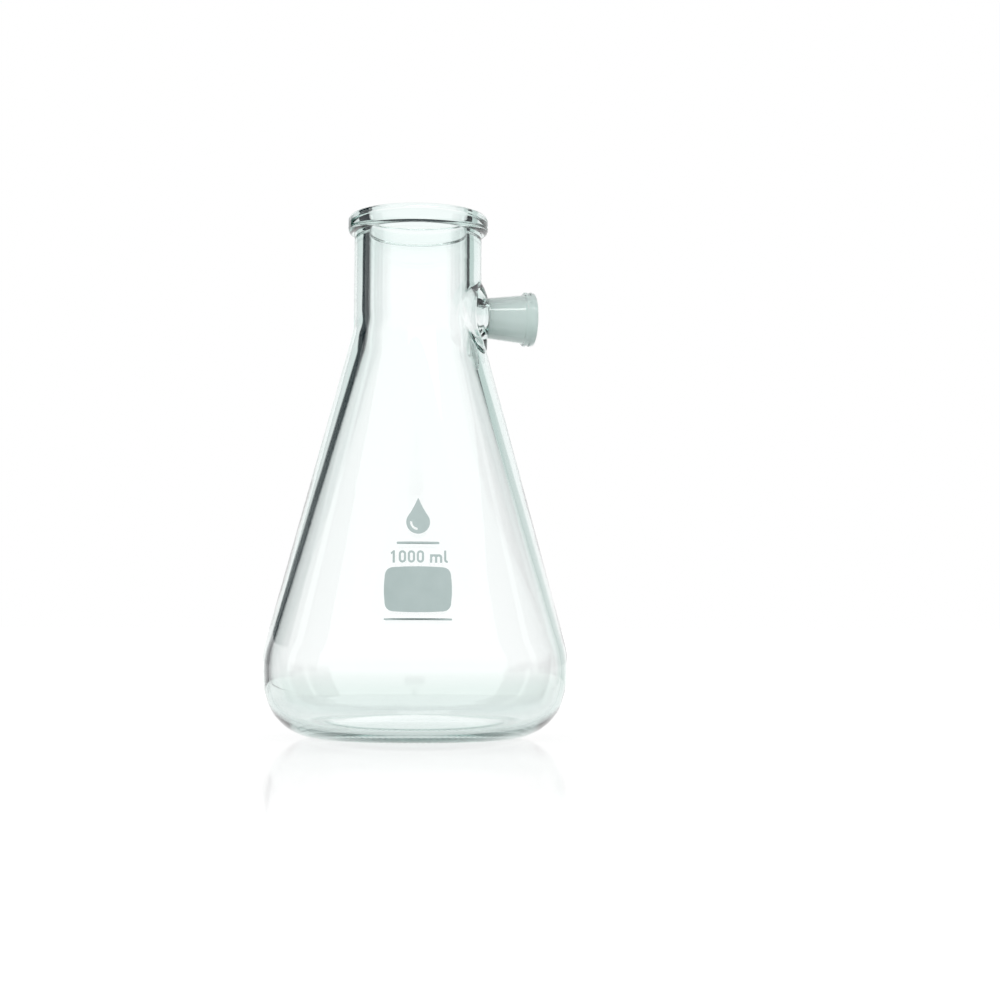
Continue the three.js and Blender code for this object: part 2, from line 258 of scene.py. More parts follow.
class Builder:
    """Collects vertices and quads, with a material number on each face."""

    def __init__(self):
        self.vertices, self.faces, self.numbers = [], [], []

    def add(self, points):
        """Adds points, and returns their numbers."""
        first = len(self.vertices)
        self.vertices.extend(points)
        return list(range(first, first + len(points)))

    def face(self, corners, number=0):
        """Adds a face with the number of its material."""
        self.faces.append(tuple(corners))
        self.numbers.append(number)

    def bridge(self, one, other, number=0):
        """Quads between two closed rings of equal length."""
        count = len(one)
        for i in range(count):
            j = (i + 1) % count
            self.face((one[i], one[j], other[j], other[i]), number)


def hermite(start, start_slope, end, end_slope, t):
    """The point at t of a cubic curve with the given ends and slopes."""
    return (
        (2 * t**3 - 3 * t**2 + 1) * start
        + (t**3 - 2 * t**2 + t) * start_slope
        + (3 * t**2 - 2 * t**3) * end
        + (t**3 - t**2) * end_slope
    )


def on_neck(y, dz, outside):
    """The point of the neck's wall that stands (y, dz) off the side arm's axis."""
    z = ARM_Z + dz
    r = neck_radius(z, outside)
    return np.stack([np.sqrt(r * r - y * y), y, z], -1)


def arm_loop(angles, radius, x):
    """A circle of points round the side arm's axis."""
    ones = np.ones_like(angles)
    return np.stack([x * ones, radius * np.cos(angles), ARM_Z + radius * np.sin(angles)], -1)


def patch_to_loop(build, ring, angles, outside, radius, steps):
    """Fills the vessel's wall between the window's edge and a circle round the side arm."""
    edge = np.array([build.vertices[i] for i in ring])
    edge_turn = np.arctan2(edge[:, 1], edge[:, 0])
    dz = radius * np.sin(angles)
    y = radius * np.cos(angles)
    loop_turn = np.arcsin(y / neck_radius(ARM_Z + dz, outside))
    rings = [ring]
    for i in range(1, steps + 1):
        t = i / steps
        z = edge[:, 2] + (ARM_Z + dz - edge[:, 2]) * t
        turn = edge_turn + (loop_turn - edge_turn) * t
        r = neck_radius(z, outside)
        points = np.stack([r * np.cos(turn), r * np.sin(turn), z], -1)
        rings.append(build.add(points))
    for one, other in zip(rings[:-1], rings[1:]):
        build.bridge(one, other)
    return rings[-1]


def flare(build, ring, angles, outside, radius, rise, end, end_slope, reach, steps):
    """Sweeps the wall from a circle on the neck to a circle on the stub.

    With a rise of 0 it leaves the neck smoothly; more lifts it off along the side arm.
    """
    cos, sin = np.cos(angles), np.sin(angles)
    start = np.array([build.vertices[i] for i in ring])
    inward = on_neck((radius - 0.05) * cos, (radius - 0.05) * sin, outside) - start
    inward /= np.linalg.norm(inward, axis=1)[:, None]
    inward[:, 0] += rise
    inward *= reach[0] / np.linalg.norm(inward, axis=1)[:, None]
    end_x, end_r = end
    target = arm_loop(angles, end_r, end_x)
    slope = np.array(end_slope) / np.linalg.norm(end_slope) * reach[1]
    final = np.stack([np.full_like(cos, slope[0]), slope[1] * cos, slope[1] * sin], -1)
    last = ring
    for i in range(1, steps + 1):
        points = hermite(start, inward, target, final, i / steps)
        here = build.add(points)
        build.bridge(last, here)
        last = here
    return last


def stub_rings(build, ring, angles, outline, number=0):
    """Rings at each (x, radius) of an outline along the side arm."""
    for x, radius in outline:
        here = build.add(arm_loop(angles, radius, x))
        build.bridge(ring, here, number)
        ring = here
    return ring


WINDOW_COLUMNS = 68  # half the columns that the window round the side arm takes up


def ring_edges(rings):
    """The edges round each closed ring, as pairs of vertices."""
    return [(r[i], r[(i + 1) % len(r)]) for r in rings for i in range(len(r))]


def window_ring(rows, first):
    """The vertices round the window, in order, starting at its low corner on the -Y side."""
    columns = [i % SPIN for i in range(-WINDOW_COLUMNS, WINDOW_COLUMNS + 1)]
    low, high = rows[first], rows[first + WINDOW_ROWS]
    ring = [low[c] for c in columns]
    ring += [rows[first + k][columns[-1]] for k in range(1, WINDOW_ROWS)]
    ring += [high[c] for c in reversed(columns)]
    ring += [rows[first + k][columns[0]] for k in range(WINDOW_ROWS - 1, 0, -1)]
    return ring


def in_window(column):
    """Whether the faces from a column to the next one are cut out for the side arm."""
    return column < WINDOW_COLUMNS or column >= SPIN - WINDOW_COLUMNS


def vessel_rings(build, outside, inside):
    """A ring of vertices for each row of the outline, outside first."""
    turn = np.arange(SPIN) * 2 * math.pi / SPIN
    rings = []
    for k, (r, z) in enumerate(outside + inside):
        height = np.full(SPIN, z)
        if k < len(outside) and r < 50 and z < 2:
            height = stipple(r, turn, height)
        rings.append(build.add(np.stack([r * np.cos(turn), r * np.sin(turn), height], -1)))
    return rings


def vessel_walls(build, rings, windows):
    """Faces between neighbouring rings, except in the two windows, and over the two ends."""
    for k in range(len(rings) - 1):
        cut = any(first <= k < first + WINDOW_ROWS for first in windows)
        for i in range(SPIN):
            if cut and in_window(i):
                continue
            j = (i + 1) % SPIN
            build.face((rings[k][i], rings[k][j], rings[k + 1][j], rings[k + 1][i]))
    for ring, z in ((rings[0], PUNT_HEIGHT), (rings[-1], FLOOR_HEIGHT)):
        middle = build.add([np.array((0.0, 0.0, z))])[0]
        for i in range(SPIN):
            build.face((ring[i], ring[(i + 1) % SPIN], middle))


def side_arm_stub(build, outer_ring, inner_ring):
    """Closes the two windows with the flared stub, and returns the rings of its sharp edges."""
    edge = np.array([build.vertices[i] for i in outer_ring])
    angles = np.arctan2(edge[:, 2] - ARM_Z, edge[:, 1])
    lip = (WELD_X - 0.1, SOCKET_ROOT_R + 0.1)
    out = patch_to_loop(build, outer_ring, angles, True, FLARE_R, 10)
    out = flare(build, out, angles, True, FLARE_R, FLARE_RISE, lip, (0.15, -1), (3.5, 5.0), 16)
    seam_edge = stub_rings(build, out, angles, [(WELD_X, SOCKET_ROOT_R)])
    bore_edge = stub_rings(build, seam_edge, angles, [(WELD_X, ARM_BORE_R)], 1)
    end = (BORE_END_X, ARM_BORE_R)
    bore = line((WELD_X, ARM_BORE_R), end, 0.8)
    out = stub_rings(build, bore_edge, angles, bore + [end])
    into = patch_to_loop(build, inner_ring, angles, False, INNER_FLARE_R, 10)
    into = flare(build, into, angles, False, INNER_FLARE_R, 0, end, (1, 0), (4.0, 5.0), 16)
    build.bridge(into, out)
    return seam_edge, bore_edge


def glass_body(clear, seam):
    """The vessel with its flared stub, as one closed wall of glass."""
    build = Builder()
    outside, inside = outer_rows(), inner_rows()
    rings = vessel_rings(build, outside, inside)
    outer_first = next(k for k, (_, z) in enumerate(outside) if abs(z - WINDOW_LOW) < 1e-6)
    inner_first = len(outside) + next(
        k for k, (_, z) in enumerate(inside) if abs(z - WINDOW_HIGH) < 1e-6
    )
    vessel_walls(build, rings, (outer_first, inner_first))
    outer_ring = window_ring(rings, outer_first)
    # The inner rows run downwards, so they are turned over to match the outer window's ring.
    inner_ring = window_ring(
        {inner_first + WINDOW_ROWS - k: rings[inner_first + k] for k in range(WINDOW_ROWS + 1)},
        inner_first,
    )
    sharp = ring_edges(side_arm_stub(build, outer_ring, inner_ring))
    made = make_object("glass_body", build.vertices, build.faces, [clear, seam],
                       build.numbers, sharp)
    merge_doubles(made)
    return made


def merge_doubles(made, distance=0.02 * MM):
    """Joins vertices that lie on each other and turns the faces outwards."""
    work = bmesh.new()
    work.from_mesh(made.data)
    bmesh.ops.remove_doubles(work, verts=work.verts, dist=distance)
    bmesh.ops.recalc_face_normals(work, faces=work.faces)
    if work.calc_volume(signed=True) < 0:
        bmesh.ops.reverse_faces(work, faces=work.faces)
    work.to_mesh(made.data)
    work.free()


ARM_SPIN = 256


def socket_outline():
    """Points (x, radius) from the weld's inner edge, round the outside, to the bore's root.

    The third value is the surface between a point and the next one.
    """
    points = [(WELD_X, ARM_BORE_R, "seam"), (WELD_X, SOCKET_ROOT_R, "clear")]
    taper = line((WELD_X, SOCKET_ROOT_R), (CONE_END_X - 0.6, SOCKET_TIP_R - 0.06), 0.8)
    points += [(x, r, "clear") for x, r in taper]
    r = BEAD_R
    beads = arc(CONE_END_X - 0.5, SOCKET_TIP_R + 0.5, 0.5, -80, 0, 0.12)
    beads += arc(CONE_END_X + 1.05, r - 1.05, 1.05, 180, 50, 0.12)[1:]
    beads += arc(CONE_END_X + 2.1, r - 0.15, 0.35, -130, -50, 0.1)
    beads += arc(ARM_END - 1.95, r - 1.25, 1.25, 125, 60, 0.15)
    beads += arc(ARM_END - 1.5, r - 1.5, 1.5, 55, 0, 0.15)
    points += [(x, r, "clear") for x, r in beads]
    mouth = arc(ARM_END - 0.7, SOCKET_BORE_R + 0.7, 0.7, 0, -84, 0.12)
    points += [(x, r, "clear") for x, r in mouth[:-1]]
    last = mouth[-1]
    root = (WELD_X + 0.2, ARM_BORE_R + 0.05)
    points.append((*last, "ground"))
    points += [(x, r, "ground") for x, r in line(last, root, 0.8)]
    points.append((*root, "clear"))
    return points


def glass_socket(clear, ground, seam):
    """The conical socket with its double bead, open at the mouth and fused at its root."""
    build = Builder()
    turn = np.arange(ARM_SPIN) * 2 * math.pi / ARM_SPIN
    numbers = {"clear": 0, "ground": 1, "seam": 2}
    outline = socket_outline()
    rings = [build.add(arm_loop(turn, r, x)) for x, r, _ in outline]
    for k, (_, _, surface) in enumerate(outline):
        build.bridge(rings[k], rings[(k + 1) % len(rings)], numbers[surface])
    return make_object("glass_socket", build.vertices, build.faces, [clear, ground, seam],
                       build.numbers, ring_edges(rings[:2]))


# ---------------------------------------------------------------- enamel films

PRINT_FACING = math.radians(-97.1)
FILM_GAP = 0.03
FILM_THICKNESS = 0.06


def inside(loops, point):
    """Whether a point lies in the shape and in none of its holes: an odd number of edges to its right."""
    crossings = 0
    for loop in loops:
        for (x0, y0), (x1, y1) in zip(loop, loop[1:] + loop[:1]):
            if (y0 > point.y) != (y1 > point.y):
                crossings += x0 + (point.y - y0) / (y1 - y0) * (x1 - x0) > point.x
    return crossings % 2 == 1


def outline_grid(loops, spacing=0.6):
    """Triangulates a flat shape given as closed loops, with points all over its inside."""
    points, edges = [], []
    for loop in loops:
        first = len(points)
        points += [Vector(p) for p in loop]
        count = len(loop)
        edges += [(first + i, first + (i + 1) % count) for i in range(count)]
    every = np.array([tuple(p) for p in points])
    low, high = every.min(0), every.max(0)
    for x in np.arange(low[0] + spacing / 2, high[0], spacing):
        for y in np.arange(low[1] + spacing / 2, high[1], spacing):
            if np.min(np.hypot(*(every - (x, y)).T)) > 0.35 * spacing:
                points.append(Vector((x, y)))
    flat, _, faces, *_ = delaunay_2d_cdt(points, edges, [], 1, 1e-5)
    faces = [face for face in faces if inside(loops, sum((flat[i] for i in face), Vector((0, 0))) / 3)]
    used = sorted({i for face in faces for i in face})
    order = {old: new for new, old in enumerate(used)}
    return np.array([flat[i] for i in used]), [tuple(order[i] for i in f) for f in faces]


def film(name, loops, enamel, spacing=0.6):
    """A thin closed skin on the cone: x runs to the reader's right, y is the height."""
    flat, faces = outline_grid(loops, spacing)
    count = len(flat)
    tilt = math.radians(CONE_ANGLE)
    layers = []
    for lift in (FILM_GAP, FILM_GAP + FILM_THICKNESS):
        r = neck_radius(flat[:, 1], True) + lift / math.cos(tilt)
        turn = PRINT_FACING + np.arcsin(flat[:, 0] / r)
        layers.append(np.stack([r * np.cos(turn), r * np.sin(turn), flat[:, 1]], -1))
    used = {}
    for face in faces:
        for i, a in enumerate(face):
            b = face[(i + 1) % len(face)]
            used[(a, b)] = True
    border = [(a, b) for a, b in used if (b, a) not in used]
    sides = [(a, b, b + count, a + count) for a, b in border]
    sharp = border + [(a + count, b + count) for a, b in border]
    top = [tuple(i + count for i in face) for face in faces]
    bottom = [tuple(reversed(face)) for face in faces]
    faces = top + bottom + sides
    return make_object(name, np.concatenate(layers), faces, [enamel], sharp=sharp)


# ---------------------------------------------------------------- materials

def new_material(name):
    """A node material, with its nodes, its links and its shader."""
    material = bpy.data.materials.new(name)
    material.use_nodes = True
    nodes = material.node_tree.nodes
    return material, nodes, material.node_tree.links, nodes["Principled BSDF"]


GLASS_IOR = 1.473
GLASS_TINT = (0.55, 0.78, 0.74, 1)  # what is left of white light far into the glass
GLASS_DENSITY = 14.0


def add_absorption(nodes, links):
    """Tints light by how far it goes through the glass."""
    absorb = nodes.new("ShaderNodeVolumeAbsorption")
    absorb.inputs["Color"].default_value = GLASS_TINT
    absorb.inputs["Density"].default_value = GLASS_DENSITY
    links.new(absorb.outputs["Volume"], nodes["Material Output"].inputs["Volume"])


def clear_glass():
    """Fire-polished borosilicate glass: a faint grey-green body and a slightly wavy surface."""
    material, nodes, links, shader = new_material("clear_borosilicate")
    shader.inputs["Base Color"].default_value = (1, 1, 1, 1)
    shader.inputs["Roughness"].default_value = 0.0
    shader.inputs["IOR"].default_value = GLASS_IOR
    shader.inputs["Transmission Weight"].default_value = 1.0
    add_absorption(nodes, links)
    place = nodes.new("ShaderNodeTexCoord")
    waves = nodes.new("ShaderNodeTexNoise")
    waves.inputs["Scale"].default_value = 38.0
    waves.inputs["Detail"].default_value = 1.5
    bump = nodes.new("ShaderNodeBump")
    bump.inputs["Strength"].default_value = 0.12
    bump.inputs["Distance"].default_value = 0.0004
    links.new(place.outputs["Object"], waves.inputs["Vector"])
    links.new(waves.outputs["Fac"], bump.inputs["Height"])
    links.new(bump.outputs["Normal"], shader.inputs["Normal"])
    return material


def ground_glass():
    """The ground cone: fine pits that scatter what comes through, and turning marks."""
    material, nodes, links, shader = new_material("ground_borosilicate")
    shader.inputs["Base Color"].default_value = (0.93, 1.0, 0.985, 1)
    shader.inputs["Roughness"].default_value = 0.5
    shader.inputs["IOR"].default_value = GLASS_IOR
    shader.inputs["Transmission Weight"].default_value = 0.2
    add_absorption(nodes, links)
    place = nodes.new("ShaderNodeTexCoord")
    stretch = nodes.new("ShaderNodeMapping")
    stretch.inputs["Scale"].default_value = (2600, 500, 500)
    grain = nodes.new("ShaderNodeTexNoise")
    grain.inputs["Scale"].default_value = 1.0
    grain.inputs["Detail"].default_value = 3.0
    bump = nodes.new("ShaderNodeBump")
    bump.inputs["Strength"].default_value = 0.5
    bump.inputs["Distance"].default_value = 0.00005
    links.new(place.outputs["Object"], stretch.inputs["Vector"])
    links.new(stretch.outputs["Vector"], grain.inputs["Vector"])
    links.new(grain.outputs["Fac"], bump.inputs["Height"])
    links.new(bump.outputs["Normal"], shader.inputs["Normal"])
    return material


def weld_seam():
    """Where the stub and the socket are fused there is no surface, so light passes straight on."""
    material, _, _, shader = new_material("fused_weld")
    shader.inputs["Alpha"].default_value = 0.0
    return material


def fired_enamel():
    """Pale grey-green ceramic ink, slightly grainy, with small changes of shade."""
    material, nodes, links, shader = new_material("fired_enamel")
    shader.inputs["Roughness"].default_value = 0.5
    place = nodes.new("ShaderNodeTexCoord")
    cloud = nodes.new("ShaderNodeTexNoise")
    cloud.inputs["Scale"].default_value = 90.0
    cloud.inputs["Detail"].default_value = 5.0
    shade = nodes.new("ShaderNodeValToRGB")
    shade.color_ramp.elements[0].position = 0.35
    shade.color_ramp.elements[0].color = (0.385, 0.475, 0.465, 1)
    shade.color_ramp.elements[1].position = 0.7
    shade.color_ramp.elements[1].color = (0.425, 0.515, 0.505, 1)
    grain = nodes.new("ShaderNodeTexNoise")
    grain.inputs["Scale"].default_value = 3500.0
    bump = nodes.new("ShaderNodeBump")
    bump.inputs["Strength"].default_value = 0.25
    bump.inputs["Distance"].default_value = 0.00003
    for texture in (cloud, grain):
        links.new(place.outputs["Object"], texture.inputs["Vector"])
    links.new(cloud.outputs["Fac"], shade.inputs["Fac"])
    links.new(shade.outputs["Color"], shader.inputs["Base Color"])
    links.new(grain.outputs["Fac"], bump.inputs["Height"])
    links.new(bump.outputs["Normal"], shader.inputs["Normal"])
    return material


# ---------------------------------------------------------------- marks

PANEL_LOW, PANEL_HIGH = node_box("writing_panel")
FIGURE_LOW, FIGURE_HIGH = node_box("capacity_figure_one")
DROP_LOW, DROP_HIGH = node_box("mark_drop")
CAPACITY_Z = FIGURE_LOW[2]
FIGURE_HEIGHT = FIGURE_HIGH[2] - FIGURE_LOW[2]
LETTER_HEIGHT = 3.5
STROKE = 0.9
ONE_X = -9.5  # right edge of the figure one's stem
ONE_FLAG = ((0.6, 0.0), (1.75, 1.0), (1.45, 1.7), (STROKE, 1.25))  # left of it, down from its top
ZERO_X = -6.4  # middle of the first nought
ZERO_WIDTH = 3.0
ZERO_PITCH = 3.68
LETTER_M_X = 4.9
LETTER_M_WIDTH = 5.0
LETTER_M_ROUND = 1.2
LETTER_L_X = 10.7
LETTER_L_ROUND = 1.25
LETTER_L_TAIL = 1.5
PANEL_WIDTH = 27.8
PANEL_CORNER = 4.2
PANEL_BULGE = 0.3
UPPER_RULE = (17.6, 1.0, 82.6)  # width, thickness, height on the cone
LOWER_RULE = (27.8, 0.8, 51.2)
DROP_RADIUS = 4.9
DROP_SPREAD = 28  # degrees above the drop's middle where its sides leave the round part


def curve_points(start, control, end, steps=16):
    """A quadratic curve, without its last point."""
    start, control, end = map(np.array, (start, control, end))
    t = np.linspace(0, 1, steps + 1)[:-1, None]
    return [tuple(p) for p in (1 - t) ** 2 * start + 2 * t * (1 - t) * control + t * t * end]


def bar_loop(width, height, z):
    """A level bar with round ends."""
    r = height / 2
    right = arc(width / 2 - r, z, r, -90, 90, 0.1)
    return right + arc(-width / 2 + r, z, r, 90, 270, 0.1)


def panel_loop():
    """The writing panel: four slightly bulging sides between round corners."""
    corner, bulge = PANEL_CORNER, PANEL_BULGE
    z = (PANEL_LOW[2] + PANEL_HIGH[2]) / 2
    x, y = PANEL_WIDTH / 2 - bulge, (PANEL_HIGH[2] - PANEL_LOW[2]) / 2 - bulge
    loop = []
    for sx, sy in ((1, -1), (1, 1), (-1, 1), (-1, -1)):
        near, far = (sx * (x - corner), z + sy * y), (sx * x, z + sy * (y - corner))
        if sx * sy > 0:
            near, far = far, near
        loop += curve_points(near, (sx * x, z + sy * y), far, 12)
        if sx == 1 and sy == -1:
            loop += curve_points(far, (x + 2 * bulge, z), (x, z + y - corner))
        elif sx == 1:
            loop += curve_points(far, (0, z + y + 2 * bulge), (-x + corner, z + y))
        elif sy == 1:
            loop += curve_points(far, (-x - 2 * bulge, z), (-x, z - y + corner))
        else:
            loop += curve_points(far, (0, z - y - 2 * bulge), (x - corner, z - y))
    return loop


def stadium_loop(x, z, width, height):
    """An upright bar with round ends, its foot at z."""
    r = width / 2
    return arc(x, z + height - r, r, 0, 180, 0.12) + arc(x, z + r, r, 180, 360, 0.12)


def one_loop():
    """The figure one: a stem with a short flag."""
    top = CAPACITY_Z + FIGURE_HEIGHT
    flag = [(ONE_X - left, top - down) for left, down in ONE_FLAG]
    return [(ONE_X, CAPACITY_Z), (ONE_X, top), *flag, (ONE_X - STROKE, CAPACITY_Z)]


def letter_m_loop():
    """A small m: two round-topped slots under a bar with a round right shoulder."""
    slot = (LETTER_M_WIDTH - 3 * STROKE) / 2
    top = CAPACITY_Z + LETTER_HEIGHT
    slot_top = top - STROKE - slot / 2
    loop = [(LETTER_M_X, CAPACITY_Z)]
    for left in (LETTER_M_X + STROKE, LETTER_M_X + 2 * STROKE + slot):
        loop.append((left, CAPACITY_Z))
        loop += arc(left + slot / 2, slot_top, slot / 2, 180, 0, 0.12)
        loop.append((left + slot, CAPACITY_Z))
    right, r = LETTER_M_X + LETTER_M_WIDTH, LETTER_M_ROUND
    loop.append((right, CAPACITY_Z))
    loop += arc(right - r, top - r, r, 0, 90, 0.15)
    loop.append((LETTER_M_X, top))
    return loop


def letter_l_loop():
    """A small l: a stem that curves into a short tail."""
    top, r = CAPACITY_Z + FIGURE_HEIGHT, LETTER_L_ROUND
    centre = (LETTER_L_X + r, CAPACITY_Z + r)
    tail = LETTER_L_X + LETTER_L_TAIL
    loop = [(LETTER_L_X, top)]
    loop += arc(*centre, r, 180, 270, 0.15)
    loop += [(tail, CAPACITY_Z), (tail, CAPACITY_Z + STROKE)]
    loop += arc(*centre, r - STROKE, 270, 180, 0.1)
    loop.append((LETTER_L_X + STROKE, top))
    return loop


def drop_loops():
    """A drop of liquid, and the crescent of clear glass in it."""
    radius, foot, top = DROP_RADIUS, DROP_LOW[2], DROP_HIGH[2]
    centre, spread = foot + radius, math.radians(DROP_SPREAD)
    side = radius * math.cos(spread)
    tangent = centre + radius * math.sin(spread)
    loop = curve_points((0, top), (-side * 0.45, centre + radius * 1.15), (-side, tangent))
    loop += arc(0, centre, radius, 180 - DROP_SPREAD, 360 + DROP_SPREAD, 0.25)[:-1]
    loop += curve_points((side, tangent), (side * 0.45, centre + radius * 1.15), (0, top))
    glint = arc(0, centre, radius * 0.68, 175, 265, 0.2)
    glint += arc(0, centre, radius * 0.5, 265, 175, 0.2)
    return [loop, glint]


def mark_loops():
    """Every mark by the name of the CAD node that it stands for."""
    loops = {
        "writing_panel": [panel_loop()],
        "capacity_figure_one": [one_loop()],
        "capacity_letter_m": [letter_m_loop()],
        "capacity_letter_l": [letter_l_loop()],
        "mark_drop": drop_loops(),
        "mark_rule_upper": [bar_loop(*UPPER_RULE)],
        "mark_rule_lower": [bar_loop(*LOWER_RULE)],
    }
    for i in range(3):
        x = ZERO_X + i * ZERO_PITCH
        inner = (ZERO_WIDTH - 2 * STROKE, FIGURE_HEIGHT - 2 * STROKE)
        loops[f"capacity_figure_zero_{i + 1}"] = [
            stadium_loop(x, CAPACITY_Z, ZERO_WIDTH, FIGURE_HEIGHT),
            stadium_loop(x, CAPACITY_Z + STROKE, *inner),
        ]
    return loops


# ---------------------------------------------------------------- camera

CAMERA_DISTANCE = 0.816  # from the flask's axis, along the line of sight
CAMERA_SIDE = 0.0368  # how far right of the axis the camera stands
CAMERA_HEIGHT = 0.050
CAMERA_PITCH = 0.066  # radians, upwards
CAMERA_ROLL = -0.0035
ARM_TURN = math.radians(10.5)  # how far the side arm turns away from the picture plane
LENS = 66.8

camera_data = bpy.data.cameras.new("camera")
camera_data.sensor_width = 36.0
camera_data.lens = LENS
camera_data.clip_start = 0.01
camera_data.clip_end = 50.0
camera = bpy.data.objects.new("camera", camera_data)
bpy.context.collection.objects.link(camera)
right = Vector((math.cos(ARM_TURN), -math.sin(ARM_TURN), 0))
ahead = Vector((math.sin(ARM_TURN), math.cos(ARM_TURN), 0))
camera.location = right * CAMERA_SIDE - ahead * CAMERA_DISTANCE + Vector((0, 0, CAMERA_HEIGHT))
sight = ahead * math.cos(CAMERA_PITCH) + Vector((0, 0, math.sin(CAMERA_PITCH)))
camera.rotation_mode = "QUATERNION"
roll = Quaternion(sight, CAMERA_ROLL)
camera.rotation_quaternion = roll @ sight.to_track_quat("-Z", "Y")
bpy.context.scene.camera = camera

# ---------------------------------------------------------------- pieces

CLEAR, GROUND, SEAM, ENAMEL = clear_glass(), ground_glass(), weld_seam(), fired_enamel()

body = glass_body(CLEAR, SEAM)
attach(body, "root")
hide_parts("flask_body")

socket = glass_socket(CLEAR, GROUND, SEAM)
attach(socket, "root")
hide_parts("side_arm_socket")

for node, loops in mark_loops().items():
    mark = film("enamel_" + node, loops, ENAMEL)
    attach(mark, "root")
    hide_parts(node)

# ---------------------------------------------------------------- floor and light

world = bpy.data.worlds.new("studio")
bpy.context.scene.world = world
world.use_nodes = True
world.node_tree.nodes["Background"].inputs["Color"].default_value = (1, 1, 1, 1)
world.node_tree.nodes["Background"].inputs["Strength"].default_value = 1.0
world.cycles_visibility.transmission = False
bpy.context.scene.view_settings.view_transform = "Standard"


def ramp_node(nodes, links, value, low, high, stops):
    """A soft colour ramp over the range from low to high, with (place, colour) stops."""
    scaled = nodes.new("ShaderNodeMapRange")
    scaled.inputs["From Min"].default_value = low
    scaled.inputs["From Max"].default_value = high
    links.new(value, scaled.inputs["Value"])
    node = nodes.new("ShaderNodeValToRGB")
    node.color_ramp.interpolation = "EASE"
    elements = node.color_ramp.elements
    while len(elements) < len(stops):
        elements.new(0.5)
    for element, (at, colour) in zip(elements, stops):
        element.position = (at - low) / (high - low)
        element.color = (*colour, 1)
    links.new(scaled.outputs["Result"], node.inputs["Fac"])
    return node.outputs["Color"]


def math_node(nodes, links, kind, *values):
    """A maths node fed with numbers and sockets."""
    node = nodes.new("ShaderNodeMath")
    node.operation = kind
    for i, value in enumerate(values):
        if isinstance(value, (int, float)):
            node.inputs[i].default_value = value
        else:
            links.new(value, node.inputs[i])
    return node.outputs[0]


def multiply_colours(nodes, links, first, *others):
    """The product of several colours."""
    colour = first
    for factor in others:
        blend = nodes.new("ShaderNodeMix")
        blend.data_type = "RGBA"
        blend.blend_type = "MULTIPLY"
        blend.inputs["Factor"].default_value = 1.0
        links.new(colour, blend.inputs["A"])
        links.new(factor, blend.inputs["B"])
        colour = blend.outputs["Result"]
    return colour


def own_place(nodes, links):
    """A card's own coordinates: as one vector, and as its distance from the card's origin."""
    place = nodes.new("ShaderNodeTexCoord")
    reach = nodes.new("ShaderNodeVectorMath")
    reach.operation = "LENGTH"
    links.new(place.outputs["Object"], reach.inputs[0])
    return place.outputs["Object"], reach.outputs["Value"]


WHITE = (1, 1, 1)
FLOOR_DIM = (0.71, 0.71, 0.71)  # its own light near the flask, where it mirrors the foot
FLOOR_GLOW = (0.0, 0.5, [(0.24, FLOOR_DIM), (0.42, WHITE)])  # the light drowns the mirror image
FLOOR_MIRROR = 0.30


def floor_material():
    """White acrylic that mirrors a little of what stands on it."""
    material, nodes, links, shader = new_material("white_floor")
    nodes.remove(shader)
    diffuse = nodes.new("ShaderNodeBsdfDiffuse")
    diffuse.inputs["Color"].default_value = (0.10, 0.10, 0.10, 1)
    _, reach = own_place(nodes, links)
    lit = ramp_node(nodes, links, reach, *FLOOR_GLOW)
    glow = nodes.new("ShaderNodeEmission")
    links.new(lit, glow.inputs["Color"])
    gloss = nodes.new("ShaderNodeBsdfGlossy")
    gloss.inputs["Roughness"].default_value = 0.06
    blend = nodes.new("ShaderNodeMixShader")
    blend.inputs["Fac"].default_value = FLOOR_MIRROR
    total = nodes.new("ShaderNodeAddShader")
    links.new(diffuse.outputs["BSDF"], blend.inputs[1])
    links.new(gloss.outputs["BSDF"], blend.inputs[2])
    links.new(blend.outputs["Shader"], total.inputs[0])
    links.new(glow.outputs["Emission"], total.inputs[1])
    links.new(total.outputs["Shader"], nodes["Material Output"].inputs["Surface"])
    return material


def even_light(name, colour, strength):
    """A surface that gives off the same light all over."""
    material, nodes, links, shader = new_material(name)
    nodes.remove(shader)
    glow = nodes.new("ShaderNodeEmission")
    glow.inputs["Color"].default_value = (*colour, 1)
    glow.inputs["Strength"].default_value = strength
    links.new(glow.outputs["Emission"], nodes["Material Output"].inputs["Surface"])
    return material


def card(name, low, high, depth, material, parent=None):
    """A flat card that faces along Z, from corner low to corner high, in metres."""
    (x0, y0), (x1, y1) = low, high
    mesh = bpy.data.meshes.new(name)
    corners = [(x0, y0, depth), (x1, y0, depth), (x1, y1, depth), (x0, y1, depth)]
    mesh.from_pydata(corners, [], [(0, 1, 2, 3)])
    mesh.materials.append(material)
    made = bpy.data.objects.new(name, mesh)
    bpy.context.collection.objects.link(made)
    made.parent = parent
    return made


floor = card("floor", (-12, -12), (12, 12), 0.0, floor_material())
floor.visible_transmission = False

# The glass shows what stands round it. The cards below are that surrounding, and no camera ray
# sees them: most show only through the glass, and two only as reflections. Those that follow the
# camera light the flask alike from every side. Distances are in metres.

PANEL_DEPTH = 1.266  # from the camera, 0.45 m behind the flask
PANEL_FOOT = -0.1338  # the floor's height at the panel, in the camera's own frame
FLASK_X = -0.047  # where the flask's axis meets the panel
ROOM_REACH = 8.0
DARK = (0.004, 0.010, 0.016)

